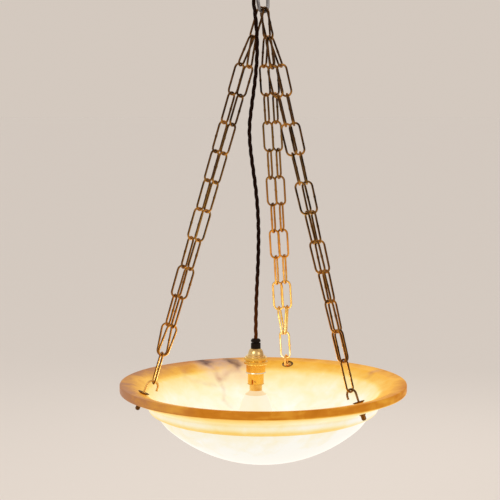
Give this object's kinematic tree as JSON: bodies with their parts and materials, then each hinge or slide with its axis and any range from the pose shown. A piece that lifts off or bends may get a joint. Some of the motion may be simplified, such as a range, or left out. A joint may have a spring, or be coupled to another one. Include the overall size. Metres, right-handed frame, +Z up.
{
  "type": "chain-hung alabaster bowl pendant light",
  "caption": "Carved alabaster bowl hung by doubled brass chains from a ceiling hook, with a bayonet lampholder and lamp on a twisted flex inside the bowl.",
  "frame": {"origin": "centre of the ceiling plate's top face, on the ceiling, above the bowl's axis", "axes": "+Z up into the ceiling, +X to the right and -Y towards the viewer of the picture"},
  "size_m": [0.5, 0.5, 0.8372],
  "materials": {
    "plate_steel": "painted grey-beige",
    "hook_steel": "plain grey steel",
    "antique_brass": "aged brown brass",
    "pale_brass": "pale satin brass",
    "black_plastic": "moulded black",
    "braided_flex": "braided dark brown, twisted",
    "white_ceramic": "glazed white",
    "lamp_cap_metal": "bright",
    "white_plastic": "white",
    "opal_glass": "opal",
    "alabaster": "polished alabaster with soft veins"
  },
  "bodies": {
    "ceiling": {"ceiling_plate": "plate_steel", "ceiling_hook": "hook_steel", "hook_lock_nut": "hook_steel", "cord_outlet_bush": "black_plastic"},
    "suspension": {"back_drop_link": "antique_brass", "back_strand_a": "antique_brass", "back_strand_b": "antique_brass", "back_top_link": "antique_brass", "left_drop_link": "antique_brass", "left_strand_a": "antique_brass", "left_strand_b": "antique_brass", "left_top_link": "antique_brass", "right_drop_link": "antique_brass", "right_strand_a": "antique_brass", "right_strand_b": "antique_brass", "right_top_link": "antique_brass", "alabaster_bowl": "alabaster", "bowl_hooks": "hook_steel", "cup_washers": "antique_brass", "lower_washers": "antique_brass", "hook_nuts": "antique_brass"},
    "pendant": {"flex_cord": "braided_flex", "cord_grip": "black_plastic", "lampholder_cap": "pale_brass", "shade_ring_upper": "pale_brass", "shade_ring_lower": "pale_brass", "lampholder_body": "pale_brass", "lampholder_insulator": "white_ceramic", "plunger_springs": "hook_steel", "terminal_screws": "pale_brass"},
    "plungers": {"contact_plungers": "pale_brass"},
    "bulb": {"bulb_cap": "lamp_cap_metal", "bulb_pins": "lamp_cap_metal", "bulb_contacts": "lamp_cap_metal", "bulb_neck": "white_plastic", "bulb_glass": "opal_glass", "bulb_led_board": "white_plastic"}
  },
  "joints": [
    {"name": "bowl_swing", "type": "hinge", "parent": "ceiling", "child": "suspension", "pos_m": [0, 0, -0.0576], "axis": [0.7431, 0.6691, 0], "range_deg": [-15, 15]},
    {"name": "flex_swing", "type": "hinge", "parent": "ceiling", "child": "pendant", "pos_m": [0, 0, -0.0576], "axis": [0.7431, 0.6691, 0], "range_deg": [-15, 15], "deforming": ["flex_cord"]},
    {"name": "plunger_push", "type": "slide", "parent": "pendant", "child": "plungers", "axis": [0, 0, 1], "range_m": [0, 0.002], "stiffness_N_per_m": 1200, "springref_m": -0.003, "deforming": ["plunger_springs"]},
    {"name": "bulb_twist", "type": "hinge", "parent": "plungers", "child": "bulb", "pos_m": [-0.013, -0.004, -0.6937], "axis": [0, 0, -1], "range_deg": [0, 25]}
  ],
  "couplings": [
    {"joint": "flex_swing", "follows": "bowl_swing", "ratio": 1},
    {"joint": "bulb_twist", "follows": "plunger_push", "rad_per_m": 218.17}
  ]
}
